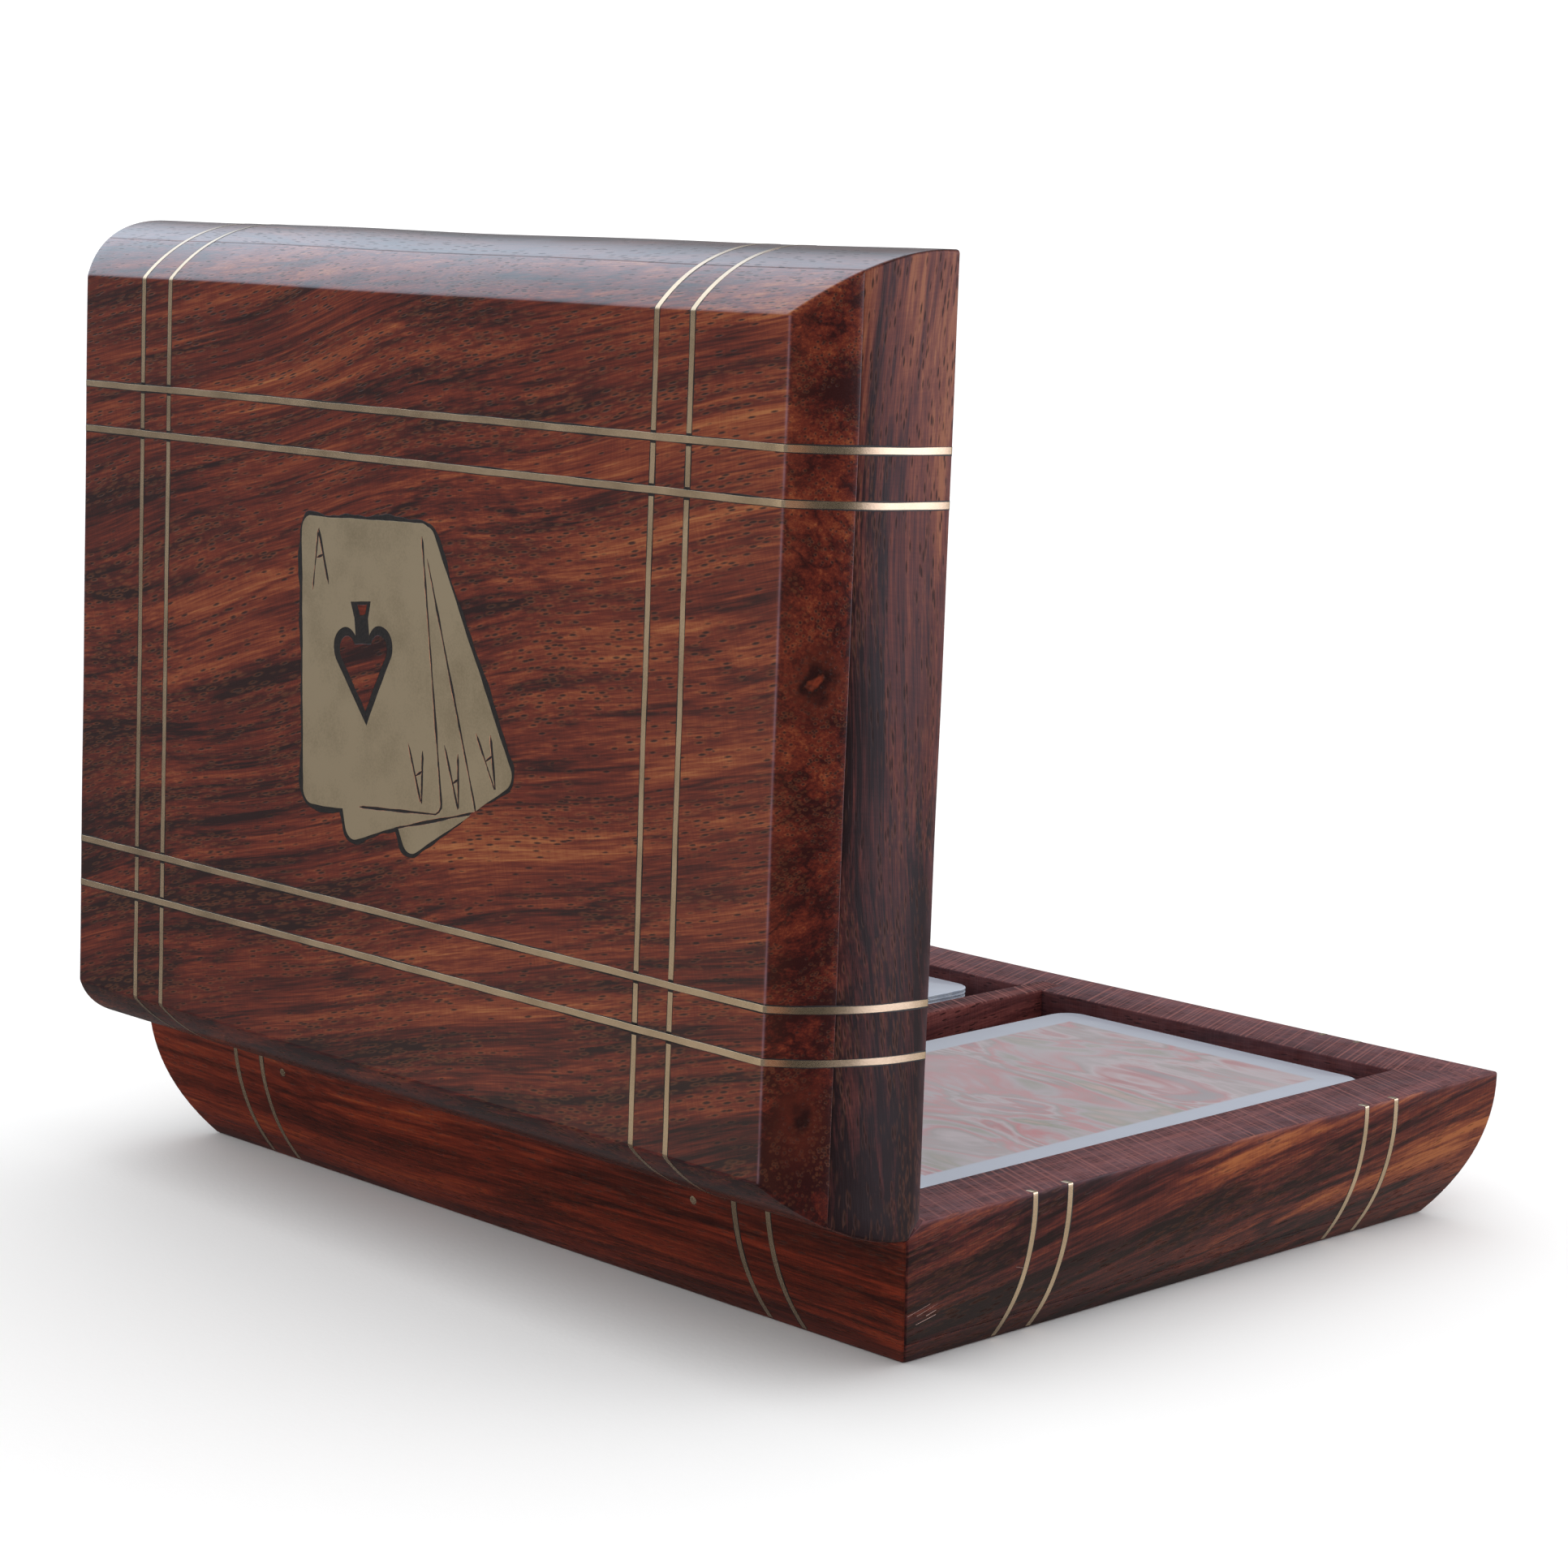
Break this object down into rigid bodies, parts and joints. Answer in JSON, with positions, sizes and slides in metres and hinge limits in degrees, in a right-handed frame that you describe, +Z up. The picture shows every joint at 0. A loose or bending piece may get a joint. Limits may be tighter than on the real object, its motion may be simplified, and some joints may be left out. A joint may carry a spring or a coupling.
{
  "type": "playing card box",
  "caption": "Hinged hardwood box with moulded sides and brass inlay that holds two decks of playing cards side by side.",
  "frame": {"origin": "centre of the flat underside of the bottom board", "axes": "+X to the right for someone facing the front, +Y to the back where the lid is hinged, +Z up; drawn with the lid open against its stop"},
  "size_m": [0.162, 0.1356, 0.1369],
  "materials": {
    "rosewood_lid_board": "rubbed wax over sanded rosewood, flat-sawn figure with open pores",
    "rosewood_lid_sides": "rubbed wax over sanded rosewood, dark straight grain",
    "rosewood_base_sides": "rubbed wax over sanded rosewood, dark streaks",
    "rosewood_base_back": "rubbed wax over sanded rosewood, plain red grain",
    "rosewood_plain": "sanded rosewood, unpolished",
    "brass_strip": "sanded flush with the wood",
    "brass_sheet": "fine sanded, dulled",
    "hinge_brass": "plain rolled sheet and wire",
    "lac": "black lac, sanded flush",
    "card_edges": "cut edges of coated card",
    "card_back": "glossy coated, white border round a soft brushed pattern"
  },
  "bodies": {
    "base": {"base_bottom_board": "rosewood_plain", "base_divider": "rosewood_plain", "base_front_strip_1": "brass_strip", "base_front_strip_2": "brass_strip", "base_front_strip_3": "brass_strip", "base_front_strip_4": "brass_strip", "base_front_wall": "rosewood_base_sides", "base_hinge_leaf_left": "hinge_brass", "base_hinge_leaf_right": "hinge_brass", "base_hinge_nails": "hinge_brass", "base_left_strip_1": "brass_strip", "base_left_strip_2": "brass_strip", "base_left_strip_3": "brass_strip", "base_left_strip_4": "brass_strip", "base_left_wall": "rosewood_base_sides", "base_rear_strip_1": "brass_strip", "base_rear_strip_2": "brass_strip", "base_rear_strip_3": "brass_strip", "base_rear_strip_4": "brass_strip", "base_rear_wall": "rosewood_base_back", "base_right_strip_1": "brass_strip", "base_right_strip_2": "brass_strip", "base_right_strip_3": "brass_strip", "base_right_strip_4": "brass_strip", "base_right_wall": "rosewood_base_sides", "hinge_pin_left": "hinge_brass", "hinge_pin_right": "hinge_brass"},
    "lid": {"card_fan_inlay": "brass_sheet", "lac_filling": "lac", "lid_cross_strip_1": "brass_strip", "lid_cross_strip_2": "brass_strip", "lid_cross_strip_3": "brass_strip", "lid_cross_strip_4": "brass_strip", "lid_front_wall": "rosewood_lid_sides", "lid_hinge_leaf_left": "hinge_brass", "lid_hinge_leaf_right": "hinge_brass", "lid_hinge_nails": "hinge_brass", "lid_left_wall": "rosewood_lid_sides", "lid_long_strip_1": "brass_strip", "lid_long_strip_2": "brass_strip", "lid_long_strip_3": "brass_strip", "lid_long_strip_4": "brass_strip", "lid_rear_wall": "rosewood_lid_sides", "lid_right_wall": "rosewood_lid_sides", "lid_top_board": "rosewood_lid_board"},
    "left_deck": {"left_deck_cards": "card_edges", "left_deck_top_card": "card_back"},
    "right_deck": {"right_deck_cards": "card_edges", "right_deck_top_card": "card_back"}
  },
  "joints": [
    {"name": "lid_hinge", "type": "hinge", "parent": "base", "child": "lid", "pos_m": [0, 0.05695, 0.0207], "axis": [1, 0, 0], "range_deg": [0, 88]},
    {"name": "left_deck_lift", "type": "slide", "parent": "base", "child": "left_deck", "axis": [0, 0, 1], "range_m": [0, 0.012]},
    {"name": "right_deck_lift", "type": "slide", "parent": "base", "child": "right_deck", "axis": [0, 0, 1], "range_m": [0, 0.012]}
  ]
}
